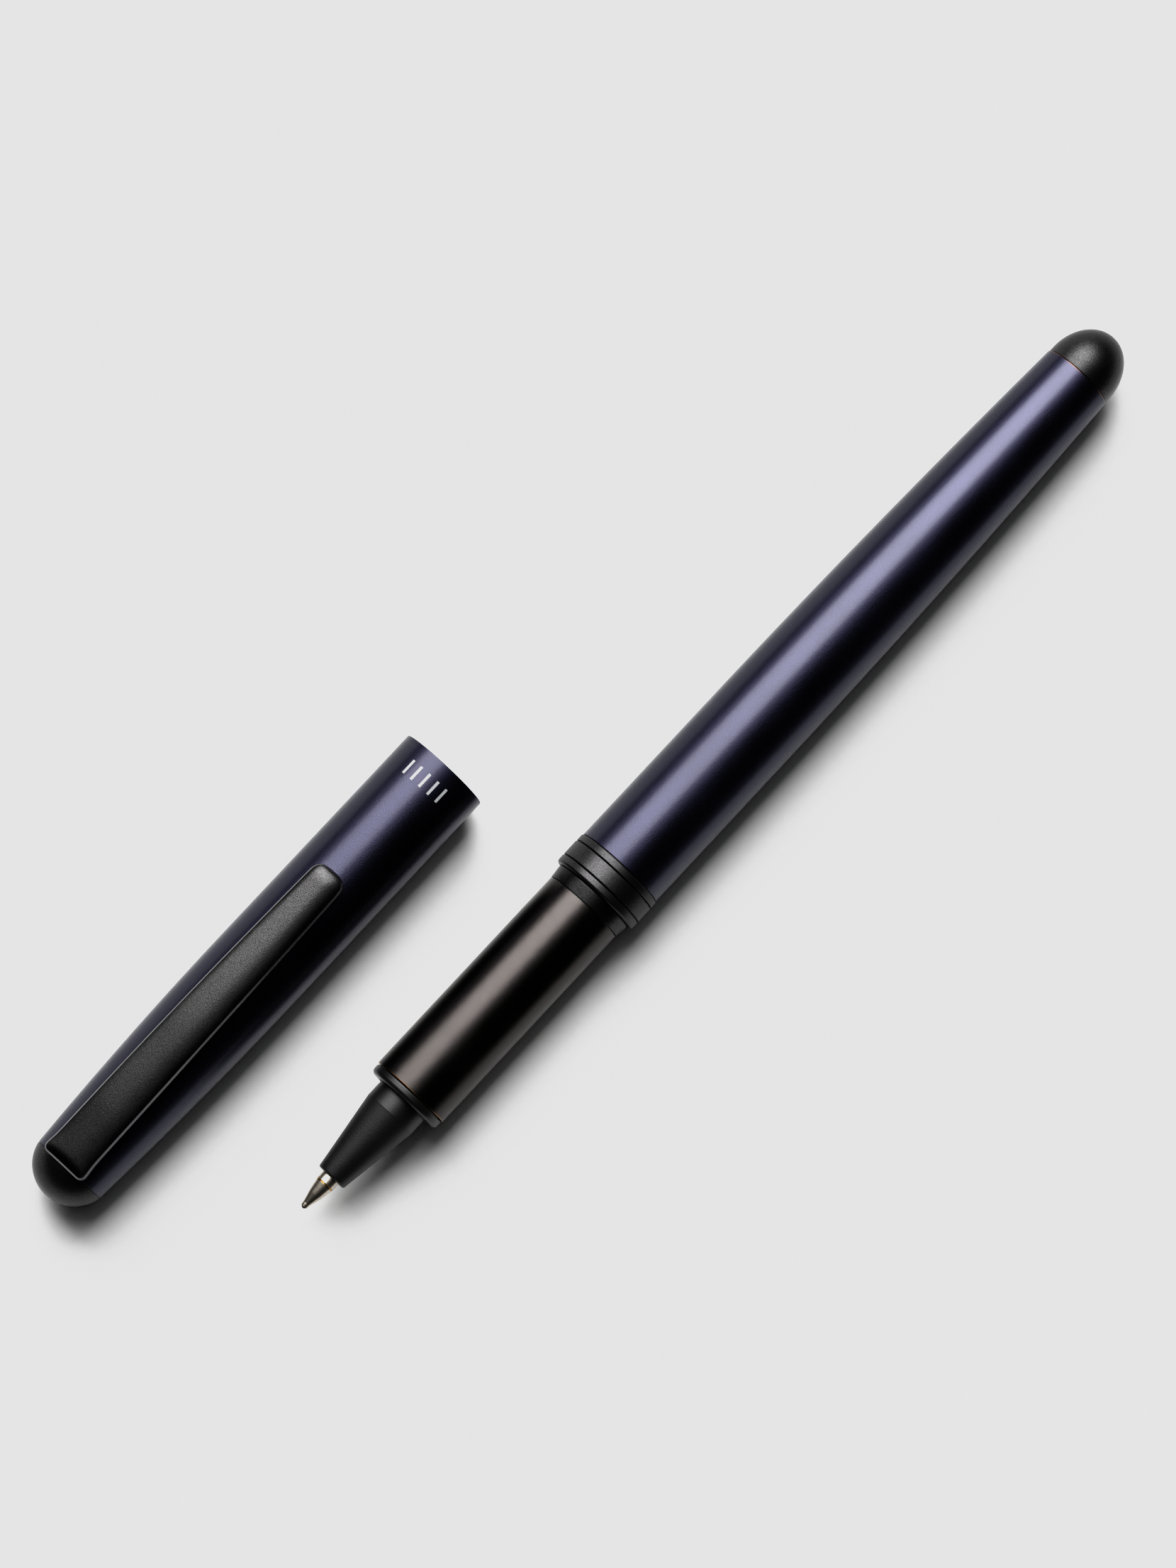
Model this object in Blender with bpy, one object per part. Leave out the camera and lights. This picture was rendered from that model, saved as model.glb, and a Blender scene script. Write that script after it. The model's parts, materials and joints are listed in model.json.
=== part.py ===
"""A capped rollerball pen, shown open: the pen lies on its side and the cap lies beside it.

Sizes are millimetres, and the meshes are built in metres. Both axes run along +X. A station on
the pen is its distance from the front of the writing ball, and a station on the cap is its
distance from the cap's closed end. An outline is a list of (station, radius) points, which is
turned about the axis.
"""

import math

import bmesh
import bpy
from mathutils import Matrix, Vector

MM = 0.001

# Driving sizes
PEN_LENGTH = 123.5
CAP_LENGTH = 59.8
CAP_LEAD = 16.9  # how far the cap's closed end lies ahead of the ball
AXIS_SPACING = 20.1  # between the pen's axis and the cap's
COLLAR_R = 5.21
BARREL_R = 5.10
BARREL_REAR_R = 4.05
SECTION_R = 4.52
FLANGE_R = 4.40
REFILL_R = 3.00
CAP_R = 5.13
CAP_MOUTH_R = 5.11
CAP_SEAM_R = 4.28
SEAM = 0.3  # the gap between pieces that meet end to end

# Stations on the pen
BAND_FRONT = 13.15
FLANGE_FRONT = 15.05
FLANGE_REAR = 15.95
SPIGOT_REAR = 19.0
SLEEVE_FRONT = 16.2
SLEEVE_REAR = 42.2
NECK_FRONT = 42.45
NECK_REAR = 43.75
COLLAR_FRONT = 44.0
COLLAR_REAR = 47.65
BARREL_FRONT = 47.9
BARREL_TAPER = 68.0
BARREL_REAR = 117.8
REFILL_REAR = 110.5

# Stations on the cap
CAP_SEAM = 3.25
CAP_STRAIGHT = 31.0  # where the cap's taper ends
SEAL_RIM = 30.5
CLIP_START = 3.3
CLIP_END = 44.0
CLIP_ROLL = math.radians(10.5)  # about the cap's axis, away from the pen
CLIP_HINGE = (4.5, 4.0)  # station, and height above the cap's axis

TAPER_POWER = 1.9
THREAD_R = 3.90
CORE_R = 3.70
CORE_BORE_R = 3.30
COLLAR_BORE_R = 4.00
CAP_BORE_R = 4.85

LARGE, MEDIUM, SMALL = 32, 24, 16  # facets round a piece

# Where the two axes lie: the whole object is centred over the origin and rests on z = 0
PEN_TIP = Vector(
    (
        (CAP_LEAD - PEN_LENGTH) / 2,
        (COLLAR_R - CAP_R - AXIS_SPACING) / 2,
        COLLAR_R,
    )
)
CAP_TIP = Vector((PEN_TIP.x - CAP_LEAD, PEN_TIP.y + AXIS_SPACING, CAP_R))


def clear_scene():
    for thing in list(bpy.data.objects):
        bpy.data.objects.remove(thing, do_unlink=True)


def finish(name, colour, roughness, metallic=0.0):
    material = bpy.data.materials.new(name)
    material.use_nodes = True
    shader = material.node_tree.nodes["Principled BSDF"]
    shader.inputs["Base Color"].default_value = (*colour, 1.0)
    shader.inputs["Roughness"].default_value = roughness
    shader.inputs["Metallic"].default_value = metallic
    return material


def empty(name, place, roll=0.0, parent=None):
    """An axis marker that a body's pieces hang from. place is in millimetres."""
    marker = bpy.data.objects.new(name, None)
    marker.empty_display_size = 5 * MM
    marker.location = Vector(place) * MM
    marker.rotation_euler = (roll, 0.0, 0.0)
    marker.parent = parent
    bpy.context.scene.collection.objects.link(marker)
    return marker


def placed(name, bm, parent, material, location=(0.0, 0.0, 0.0)):
    """Makes an object from a bmesh in millimetres, with its faces pointing out."""
    bmesh.ops.recalc_face_normals(bm, faces=bm.faces)
    bm.transform(Matrix.Scale(MM, 4))
    mesh = bpy.data.meshes.new(name)
    bm.to_mesh(mesh)
    bm.free()
    mesh.shade_smooth()
    mesh.set_sharp_from_angle(angle=math.radians(32))
    mesh.materials.append(material)
    thing = bpy.data.objects.new(name, mesh)
    thing.location = Vector(location) * MM
    thing.parent = parent
    bpy.context.scene.collection.objects.link(thing)
    return thing


def turned(name, outline, facets, parent, material):
    """Turns an outline about the X axis. One that starts and ends on the axis is solid, and any
    other is closed into a ring."""
    bm = bmesh.new()
    points = [bm.verts.new((station, 0.0, radius)) for station, radius in outline]
    edges = [bm.edges.new(pair) for pair in zip(points, points[1:])]
    if outline[0][1] > 0:
        edges.append(bm.edges.new((points[-1], points[0])))
    bmesh.ops.spin(
        bm,
        geom=points + edges,
        cent=(0, 0, 0),
        axis=(1, 0, 0),
        angle=math.tau,
        steps=facets,
        use_merge=True,
    )
    bmesh.ops.remove_doubles(bm, verts=bm.verts, dist=0.001)
    return placed(name, bm, parent, material)


def arc(centre, radii, start, end, steps):
    """Points on an ellipse about (station, radius), from one angle to another in degrees. Angle 0
    points along +X, and angle 90 away from the axis."""
    points = []
    for i in range(steps + 1):
        angle = math.radians(start + (end - start) * i / steps)
        station = centre[0] + radii[0] * math.cos(angle)
        radius = centre[1] + radii[1] * math.sin(angle)
        points.append((station, max(radius, 0.0)))
    return points


def box(name, low, high, parent, material):
    bm = bmesh.new()
    bmesh.ops.create_cube(bm, size=1.0)
    size = Vector(high) - Vector(low)
    middle = (Vector(high) + Vector(low)) / 2
    bm.transform(Matrix.Translation(middle) @ Matrix.Diagonal((*size, 1.0)))
    return placed(name, bm, parent, material)


def cut(target, cutter):
    """Takes one shape out of another. The cutter stays as a guide."""
    cutter.hide_render = True
    cutter.display_type = "WIRE"
    boolean = target.modifiers.new("cut", "BOOLEAN")
    boolean.operation = "DIFFERENCE"
    boolean.object = cutter


def barrel_radius(station):
    along = max(0.0, (station - BARREL_TAPER) / (BARREL_REAR - BARREL_TAPER))
    return BARREL_R - (BARREL_R - BARREL_REAR_R) * along**TAPER_POWER


def cap_radius(station):
    if station > CAP_STRAIGHT:
        along = (station - CAP_STRAIGHT) / (CAP_LENGTH - CAP_STRAIGHT)
        return CAP_R - (CAP_R - CAP_MOUTH_R) * along
    along = (CAP_STRAIGHT - station) / (CAP_STRAIGHT - CAP_SEAM - SEAM)
    return CAP_R - (CAP_R - CAP_SEAM_R) * along**TAPER_POWER


# --- The front section: what the fingers hold, with the collar and the thread behind it


def section_core(parent, brass):
    """The brass tube that the sleeve and the collar rings slide onto, threaded at its rear."""
    groove = (48.7, 49.9, 3.45)
    thread = (50.4, 56.9)
    front, rear = 22.0, 57.6
    outline = [
        (front, CORE_BORE_R),
        (front, CORE_R),
        (groove[0], CORE_R),
        (groove[0], groove[2]),
        (groove[1], groove[2]),
        (groove[1], CORE_R),
        (thread[0], THREAD_R),
        (thread[1], THREAD_R),
        (rear, CORE_R - 0.1),
        (rear, CORE_BORE_R),
    ]
    turned("section_core", outline, MEDIUM, parent, brass)


def section_sleeve(parent, anodised):
    chamfer, bore = 0.2, 4.15
    outline = [
        (SLEEVE_FRONT, bore),
        (SLEEVE_FRONT, SECTION_R - chamfer),
        (SLEEVE_FRONT + chamfer, SECTION_R),
        (SLEEVE_REAR, SECTION_R),
        (SLEEVE_REAR, bore),
    ]
    turned("section_sleeve", outline, LARGE, parent, anodised)


def section_neck(parent, textured):
    """The short flare that the cap's mouth grips."""
    flare = 4.68
    outline = [
        (NECK_FRONT, COLLAR_BORE_R),
        (NECK_FRONT, SECTION_R + 0.02),
        (NECK_REAR, flare),
        (NECK_REAR, COLLAR_BORE_R),
    ]
    turned("section_neck", outline, LARGE, parent, textured)


def collar_rings(parent, blasted):
    """Three stacked rings with a narrow groove between each pair."""
    rings = (
        ("collar_ring_front", COLLAR_FRONT, 44.8, COLLAR_R, 0.4),
        ("collar_ring_wide", 45.1, 46.75, COLLAR_R, 0.1),
        ("collar_ring_rear", 47.05, COLLAR_REAR, COLLAR_R - 0.02, 0.1),
    )
    edge = 0.1
    for name, front, rear, radius, bevel in rings:
        outline = [
            (front, COLLAR_BORE_R),
            (front, radius - bevel),
            (front + bevel, radius),
            (rear - edge, radius),
            (rear, radius - edge),
            (rear, COLLAR_BORE_R),
        ]
        turned(name, outline, LARGE, parent, blasted)


def front_flange_ring(parent, gloss):
    """The round-edged ring that the refill comes out through, with a spigot inside the sleeve."""
    bore, spigot = 3.25, 3.90
    round_over = (0.5, 0.5)
    outline = [
        (FLANGE_FRONT, bore),
        *arc(
            (FLANGE_FRONT + round_over[0], FLANGE_R - round_over[1]), round_over, 180, 90, 3
        ),
        (FLANGE_REAR - 0.1, FLANGE_R),
        (FLANGE_REAR, FLANGE_R - 0.1),
        (FLANGE_REAR, spigot),
        (SPIGOT_REAR, spigot),
        (SPIGOT_REAR, bore),
    ]
    turned("front_flange_ring", outline, LARGE, parent, gloss)


def thread_o_ring(parent, rubber):
    """A rubber ring in the core's groove, which keeps the barrel from working loose."""
    centre, wire = (49.3, 4.0), 0.3
    outline = arc(centre, (wire, wire), 0, 315, 7)
    turned("thread_o_ring", outline, MEDIUM, parent, rubber)


# --- The refill


def refill_nose(parent, plastic):
    """The cone and band that show ahead of the section, and the stop collar behind its flange."""
    face, fillet = 4.3, 0.35
    face_r, shoulder_r = 1.7, 2.93
    stop, stop_rear, stop_r = SPIGOT_REAR + SEAM, 20.5, 3.65
    tail, tail_r = 24.5, 2.3
    tip_bore, ink_bore = 1.3, 1.9
    outline = [
        (face, tip_bore),
        (face, face_r - fillet),
        *arc((face + fillet, face_r - fillet), (fillet, fillet), 150, 90, 2),
        (BAND_FRONT - 0.2, shoulder_r),
        (BAND_FRONT, REFILL_R),
        (stop, REFILL_R),
        (stop, stop_r),
        (stop_rear, stop_r),
        (stop_rear, tail_r),
        (tail, tail_r),
        (tail, ink_bore),
        (12.0, ink_bore),
        (9.0, tip_bore),
    ]
    turned("refill_nose", outline, MEDIUM, parent, plastic)


def refill_tip(parent, steel):
    """The steel cone that holds the ball, with the ink channel through it."""
    front, shoulder, rear = 0.2, 3.3, 8.0
    lip_r, stem_r, socket_r, channel_r, bore_r = 0.40, 1.05, 0.34, 0.20, 0.70
    outline = [
        (front, socket_r),
        (front, lip_r),
        (shoulder, stem_r),
        (rear, stem_r),
        (rear, bore_r),
        (shoulder, bore_r),
        (shoulder - 0.4, channel_r),
        (0.95, channel_r),
        (0.75, socket_r),
    ]
    turned("refill_tip", outline, SMALL, parent, steel)


def writing_ball(parent, carbide):
    radius = 0.3
    bm = bmesh.new()
    bmesh.ops.create_uvsphere(bm, u_segments=12, v_segments=8, radius=radius)
    placed("writing_ball", bm, parent, carbide)


def feed_rod(parent, fibre):
    """The fibre rod that carries ink from the reservoir to the ball."""
    front, rear, radius = 3.9, 26.5, 0.4
    outline = [(front, 0.0), (front, radius), (rear, radius), (rear, 0.0)]
    turned("feed_rod", outline, 10, parent, fibre)


def refill_tube(parent, steel):
    front, rear, bore = 21.2, 104.0, 2.55
    outline = [(front, bore), (front, REFILL_R), (rear, REFILL_R), (rear, bore)]
    turned("refill_tube", outline, MEDIUM, parent, steel)


def ink_reservoir(parent, ink):
    front, rear, radius = 26.9, 99.5, 2.25
    outline = [(front, 0.0), (front, radius), (rear, radius), (rear, 0.0)]
    turned("ink_reservoir", outline, SMALL, parent, ink)


def refill_end_plug(parent, plastic):
    """Closes the refill's rear, with a vent through it."""
    spigot, shoulder, vent = 100.0, 104.3, 0.4
    spigot_r, chamfer = 2.25, 0.4
    outline = [
        (spigot, vent),
        (spigot, spigot_r),
        (shoulder, spigot_r),
        (shoulder, REFILL_R),
        (REFILL_REAR - chamfer, REFILL_R),
        (REFILL_REAR, REFILL_R - chamfer),
        (REFILL_REAR, vent),
    ]
    turned("refill_end_plug", outline, SMALL, parent, plastic)


# --- The barrel


def barrel_tube(parent, anodised):
    """The long rear tube: straight at the front, then a gentle convex taper."""
    chamfer = 0.12
    front_bore, rear_bore = 4.75, 3.65
    tapering = [BARREL_TAPER, 78.0, 86.0, 94.0, 102.0, 110.0]
    outline = [
        (BARREL_FRONT, front_bore),
        (BARREL_FRONT, BARREL_R - chamfer),
        (BARREL_FRONT + chamfer, BARREL_R),
        *[(station, barrel_radius(station)) for station in tapering],
        (BARREL_REAR - chamfer, barrel_radius(BARREL_REAR - chamfer)),
        (BARREL_REAR, BARREL_REAR_R - chamfer),
        (BARREL_REAR, rear_bore),
        (104.0, rear_bore),
        (86.0, 4.3),
        (60.0, front_bore),
    ]
    turned("barrel_tube", outline, LARGE, parent, anodised)


def barrel_thread_insert(parent, brass):
    """The brass sleeve inside the barrel that screws onto the section's core."""
    front, rear, bore, radius = 50.6, 57.9, 4.15, 4.50
    outline = [(front, bore), (front, radius), (rear, radius), (rear, bore)]
    turned("barrel_thread_insert", outline, MEDIUM, parent, brass)


def barrel_end_dome(parent, matte):
    """The rounded plug at the rear, with a hollow stud that holds the refill's spring."""
    seam = BARREL_REAR + SEAM
    radius, crown = 3.95, 5.0
    stud, stud_r, pocket, pocket_r = 112.0, 3.3, 117.1, 2.65
    outline = [
        (pocket, 0.0),
        (pocket, pocket_r),
        (stud, pocket_r),
        (stud, stud_r),
        (seam, stud_r),
        (seam, radius),
        *arc((PEN_LENGTH - crown, 0.0), (crown, radius), 90, 0, 9),
    ]
    turned("barrel_end_dome", outline, LARGE, parent, matte)


def refill_spring(parent, steel):
    """The compression spring that presses the refill forward against its stop."""
    front, rear, coil_r, wire_r = 110.9, 116.8, 2.1, 0.2
    turns, points_per_turn = 4.5, 12
    count = int(turns * points_per_turn) + 1
    curve = bpy.data.curves.new("refill_spring", "CURVE")
    curve.dimensions = "3D"
    curve.bevel_depth = wire_r * MM
    curve.bevel_resolution = 1
    curve.use_fill_caps = True
    spline = curve.splines.new("POLY")
    spline.points.add(count - 1)
    for i, point in enumerate(spline.points):
        angle = math.tau * i / points_per_turn
        along = (front + wire_r) + (rear - front - 2 * wire_r) * i / (count - 1)
        place = Vector((along, coil_r * math.cos(angle), coil_r * math.sin(angle))) * MM
        point.co = (*place, 1.0)
    curve.materials.append(steel)
    spring = bpy.data.objects.new("refill_spring", curve)
    spring.parent = parent
    bpy.context.scene.collection.objects.link(spring)


# --- The cap


def cap_tube(parent, roll, anodised, guide):
    """The cap's shell, with a bulkhead near its closed end and a slot for the clip's leg."""
    chamfer = 0.1
    front = CAP_SEAM + SEAM
    bulkhead, bulkhead_r, screw_r, pocket_r = (8.5, 10.4), 4.2, 1.4, 3.55
    tapering = [7.0, 11.0, 16.0, 21.0, 26.0, CAP_STRAIGHT]
    outline = [
        (front, pocket_r),
        (front, cap_radius(front) - chamfer),
        (front + chamfer, cap_radius(front + chamfer)),
        *[(station, cap_radius(station)) for station in tapering],
        (CAP_LENGTH - chamfer, CAP_MOUTH_R),
        (CAP_LENGTH, CAP_MOUTH_R - chamfer),
        (CAP_LENGTH, CAP_BORE_R),
        (29.0, CAP_BORE_R),
        (22.0, 4.3),
        (bulkhead[1], bulkhead_r),
        (bulkhead[1], screw_r),
        (bulkhead[0], screw_r),
        (bulkhead[0], pocket_r),
    ]
    tube = turned("cap_tube", outline, LARGE, parent, anodised)
    slot = box("clip_slot", (front - 0.6, -1.9, 2.6), (5.4, 1.9, 6.0), roll, guide)
    cut(tube, slot)


def cap_dome(parent, matte):
    """The rounded closed end, with a spigot that the clip's screw pulls in."""
    crown, radius = 4.2, 4.32
    spigot, spigot_r, hole, hole_r = 8.1, 3.2, 3.8, 1.2
    seam_angle = math.degrees(math.acos((CAP_SEAM - crown) / crown))
    outline = [
        *arc((crown, 0.0), (crown, radius), 180, seam_angle, 8),
        (CAP_SEAM, spigot_r),
        (spigot, spigot_r),
        (spigot, hole_r),
        (hole, hole_r),
        (hole, 0.0),
    ]
    turned("cap_dome", outline, LARGE, parent, matte)


def cap_seal_cup(parent, plastic):
    """The closed inner cup that covers the nose and keeps the ink from drying."""
    end, wall_r, rim_r, bore = 13.3, 3.95, 4.50, 3.40
    outline = [
        (end, 0.0),
        (end, 2.6),
        (15.0, wall_r),
        (28.8, wall_r),
        (29.4, rim_r),
        (SEAL_RIM, rim_r),
        (SEAL_RIM, bore),
        (19.5, bore),
        (15.6, 1.9),
        (14.4, 1.9),
        (14.4, 0.0),
    ]
    turned("cap_seal_cup", outline, MEDIUM, parent, plastic)


def clip_screw(parent, steel, guide):
    """Pulls the dome onto the cap from inside, and traps the clip's leg."""
    shank, shank_r = 4.2, 0.95
    head, head_rear, head_r = 11.3, 12.7, 2.2
    outline = [
        (shank, 0.0),
        (shank, shank_r),
        (head, shank_r),
        (head, head_r),
        (head_rear - 0.2, head_r),
        (head_rear, head_r - 0.2),
        (head_rear, 0.0),
    ]
    screw = turned("clip_screw", outline, SMALL, parent, steel)
    recess = [(12.0, 0.0), (12.0, 1.15), (13.2, 1.15), (13.2, 0.0)]
    cut(screw, turned("screw_recess", recess, 6, parent, guide))


def clip_washer(parent, steel):
    front, rear, bore, radius = 10.7, 11.0, 1.3, 2.3
    outline = [(front, bore), (front, radius), (rear, radius), (rear, bore)]
    turned("clip_washer", outline, SMALL, parent, steel)


def clip_half_width(station):
    root, free, round_length = 2.7, 2.02, 1.5
    along = (station - CLIP_START) / (CLIP_END - CLIP_START)
    width = root + (free - root) * along
    beyond = max(0.0, (station - (CLIP_END - round_length)) / round_length)
    before = max(0.0, (CLIP_START + 0.4 - station) / 0.4)
    return width * (1 - beyond**2.6) ** (1 / 2.6) * (1 - 0.08 * before)


def clip_underside(station, across):
    """The height of the clip's underside: wrapped round the tube at the root, flat beyond."""
    near, far = 0.34, 0.52
    pad_start, pad = 39.0, CAP_R + 0.32
    grown = min(1.0, (station - CLIP_START) / 20.0)
    if station > pad_start:
        return pad
    middle = cap_radius(max(station, CLIP_HINGE[0])) + near + (far - near) * grown
    wrap = max(0.0, 1 - max(0.0, station - 5.6) / 2.4)
    drop = middle - math.sqrt(middle**2 - across**2)
    return middle - wrap * drop


def cap_clip(parent, blasted):
    """A crowned bar that tapers to a rounded end, with a leg that drops into the cap's slot.

    It is lofted in the frame of its hinge, so the hinge's place is taken off every point.
    """
    edge, crown = 0.55, 0.35
    stations = [3.3, 3.7, 5.6, 8.0, 12.0, 17.0, 22.0, 30.0, 38.4, 39.4, 42.5, 43.3, 43.8, 43.99]
    spread = [-1.0, -0.5, 0.0, 0.5, 1.0]
    bm = bmesh.new()
    loops = []
    for station in stations:
        half = clip_half_width(station)
        low = [(f * half, clip_underside(station, f * half)) for f in spread]
        level = clip_underside(station, 0.0) + edge
        high = [(f * half, level + crown * (1 - f * f)) for f in reversed(spread)]
        loops.append([bm.verts.new((station, y, z)) for y, z in low + high])
    for one, two in zip(loops, loops[1:]):
        for i in range(len(one)):
            j = (i + 1) % len(one)
            bm.faces.new((one[i], one[j], two[j], two[i]))
    bm.faces.new(loops[0])
    bm.faces.new(loops[-1])
    shift = Matrix.Translation((-CLIP_HINGE[0], 0.0, -CLIP_HINGE[1]))
    bm.transform(shift)
    clip = placed("cap_clip", bm, parent, blasted)
    low = Vector((4.0, -1.6, 3.55)) - Vector((CLIP_HINGE[0], 0.0, CLIP_HINGE[1]))
    high = Vector((5.0, 1.6, 4.9)) - Vector((CLIP_HINGE[0], 0.0, CLIP_HINGE[1]))
    leg = box("clip_leg", low, high, parent, blasted)
    leg.hide_render = True
    leg.display_type = "WIRE"
    joined = clip.modifiers.new("leg", "BOOLEAN")
    joined.operation = "UNION"
    joined.object = leg


def build():
    clear_scene()
    navy = finish("navy_anodised", (0.022, 0.022, 0.055), 0.38, 0.9)
    graphite = finish("graphite_anodised", (0.03, 0.028, 0.03), 0.34, 0.9)
    blasted = finish("blasted_black", (0.02, 0.02, 0.021), 0.55, 0.4)
    matte = finish("matte_black_dome", (0.016, 0.016, 0.017), 0.6, 0.2)
    gloss = finish("gloss_black", (0.01, 0.01, 0.01), 0.2)
    nose = finish("nose_plastic", (0.015, 0.014, 0.014), 0.6)
    plug = finish("plug_plastic", (0.02, 0.02, 0.02), 0.5)
    milky = finish("seal_plastic", (0.06, 0.06, 0.06), 0.5)
    steel = finish("bright_steel", (0.6, 0.59, 0.57), 0.22, 1.0)
    carbide = finish("carbide", (0.3, 0.3, 0.31), 0.15, 1.0)
    brass = finish("brass", (0.62, 0.45, 0.2), 0.3, 1.0)
    rubber = finish("black_rubber", (0.012, 0.012, 0.012), 0.8)
    ink = finish("inked_fibre", (0.01, 0.011, 0.03), 0.9)
    fibre = finish("feed_fibre", (0.5, 0.5, 0.48), 0.9)
    guide = finish("guide", (0.8, 0.2, 0.1), 0.5)

    section = empty("section_axis", PEN_TIP)
    section_core(section, brass)
    section_sleeve(section, graphite)
    section_neck(section, blasted)
    collar_rings(section, blasted)
    front_flange_ring(section, gloss)
    thread_o_ring(section, rubber)

    refill = empty("refill_axis", PEN_TIP)
    refill_nose(refill, nose)
    refill_tip(refill, steel)
    feed_rod(refill, fibre)
    refill_tube(refill, steel)
    ink_reservoir(refill, ink)
    refill_end_plug(refill, plug)
    writing_ball(empty("ball_centre", PEN_TIP + Vector((0.3, 0, 0))), carbide)

    barrel = empty("barrel_axis", PEN_TIP)
    barrel_tube(barrel, navy)
    barrel_thread_insert(barrel, brass)
    barrel_end_dome(barrel, matte)
    refill_spring(barrel, steel)

    cap = empty("cap_axis", CAP_TIP)
    roll = empty("clip_roll", (0.0, 0.0, 0.0), roll=-CLIP_ROLL, parent=cap)
    hinge = empty("clip_hinge", (CLIP_HINGE[0], 0.0, CLIP_HINGE[1]), parent=roll)
    cap_tube(cap, roll, navy, guide)
    cap_dome(cap, matte)
    cap_seal_cup(cap, milky)
    clip_screw(cap, steel, guide)
    clip_washer(cap, steel)
    cap_clip(hinge, blasted)


build()
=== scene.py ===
"""The looks of an open rollerball pen that lies beside its cap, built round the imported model.

Shapes are worked out in millimetres, each in the frame of its own axis: the pen's or the cap's,
which both run along +X. A station is a distance along the axis, from the front of the writing
ball or from the cap's closed end. An outline is a list of corners (station, radius, fillet) that
is turned about the axis.
"""

import json
import math

import bmesh
import bpy
from mathutils import Matrix, Vector

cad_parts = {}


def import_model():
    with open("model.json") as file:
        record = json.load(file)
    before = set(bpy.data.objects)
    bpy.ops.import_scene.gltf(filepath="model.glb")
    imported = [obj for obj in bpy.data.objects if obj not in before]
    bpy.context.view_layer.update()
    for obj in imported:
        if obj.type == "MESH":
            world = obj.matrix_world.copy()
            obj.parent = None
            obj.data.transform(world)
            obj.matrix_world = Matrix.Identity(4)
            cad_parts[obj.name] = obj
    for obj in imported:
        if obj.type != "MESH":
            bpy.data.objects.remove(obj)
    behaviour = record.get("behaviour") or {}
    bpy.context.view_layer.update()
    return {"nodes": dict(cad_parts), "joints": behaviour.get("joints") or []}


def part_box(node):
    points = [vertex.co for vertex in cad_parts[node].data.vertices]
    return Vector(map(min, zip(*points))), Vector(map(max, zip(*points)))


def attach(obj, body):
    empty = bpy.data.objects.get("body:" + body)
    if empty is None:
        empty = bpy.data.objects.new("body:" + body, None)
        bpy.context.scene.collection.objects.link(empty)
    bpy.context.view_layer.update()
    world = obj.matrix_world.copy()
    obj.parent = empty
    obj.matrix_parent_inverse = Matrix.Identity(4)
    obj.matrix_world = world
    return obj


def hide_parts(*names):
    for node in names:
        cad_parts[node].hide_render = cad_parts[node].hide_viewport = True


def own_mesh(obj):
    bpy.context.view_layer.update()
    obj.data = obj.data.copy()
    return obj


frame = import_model()

MM = 0.001
ROUND = 128  # facets round a large piece
FINE = 96  # facets round a small one
CRISP = 0.02  # the fillet of a crisp edge
FILLET_STEPS = 5
FILLET_SHARE = 0.48  # how much of an outline's side one fillet may take
SUPPORT = 0.4  # how far a point stands from a fillet's end, against the fillet's radius

# Shapes that the frame's boxes don't give
TAPER_POWER = 1.9
BARREL_TAPER = 68.0  # where the barrel's taper starts
BARREL_REAR_R = 4.05
CAP_STRAIGHT = 31.0  # where the cap's taper ends
CAP_SEAM_R = 4.28
CAP_MOUTH_R = 5.11
SEAL_BORE_R = 3.40
COLLAR_BORE_R = 4.00
REACH = 0.08  # how far a piece reaches into the gap that the CAD leaves at each joint
SEAM = 0.06  # the gap that shows at a dome

# Camera and light
CAMERA_PLACE = Vector((-0.0702, 0.0110, 0.7337))
CAMERA_AIM = Vector((-0.00136, -0.00174, 0.0051))
CAMERA_ROLL = math.radians(42.98)  # from +X to the top of the picture
CAMERA_LENS = 163.0
SOFTBOXES = {
    # where its two long sides stand, in degrees from overhead towards +Y; its length along the
    # pens and how far its middle lies towards +X; its distance; its radiance
    "key": (11.0, 60.0, 2.85, 1.60, 3.0, 8.3),
    "wide": (-7.0, 76.0, 3.6, 1.3, 3.05, 0.58),
}
CONTRAST = 1.3
MIDDLE_GREY = 0.18
TONES = (0.006, 0.015, 0.03, 0.06, 0.10, 0.16, 0.24, 0.33, 0.42, 0.49)  # those that get the contrast
SHOULDER = ((0.56, 0.737), (0.65, 0.772))  # from there to the floor's tone
FLOOR_TONES = (0.80, 2.2)  # the range that is shown as one tone
FLOOR_WHITE = 0.783  # and the tone that it is shown as
SPARKLE = 3.6  # what is shown white


def axis_tip(front_node, tube_node):
    """Where an axis starts: at one node's front, and in the middle of another."""
    low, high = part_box(tube_node)
    middle = (low + high) / 2
    return Vector((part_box(front_node)[0].x, middle.y, middle.z))


PEN = axis_tip("writing_ball", "barrel_tube")
CAP = axis_tip("cap_dome", "cap_tube")


def span(node, tip):
    """A turned node's front station, rear station and radius, in millimetres."""
    low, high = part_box(node)
    return (low.x - tip.x) / MM, (high.x - tip.x) / MM, (high.z - low.z) / 2 / MM


def joint(name):
    return next(j for j in frame["joints"] if j["name"] == name)


# --- Building blocks


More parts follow.
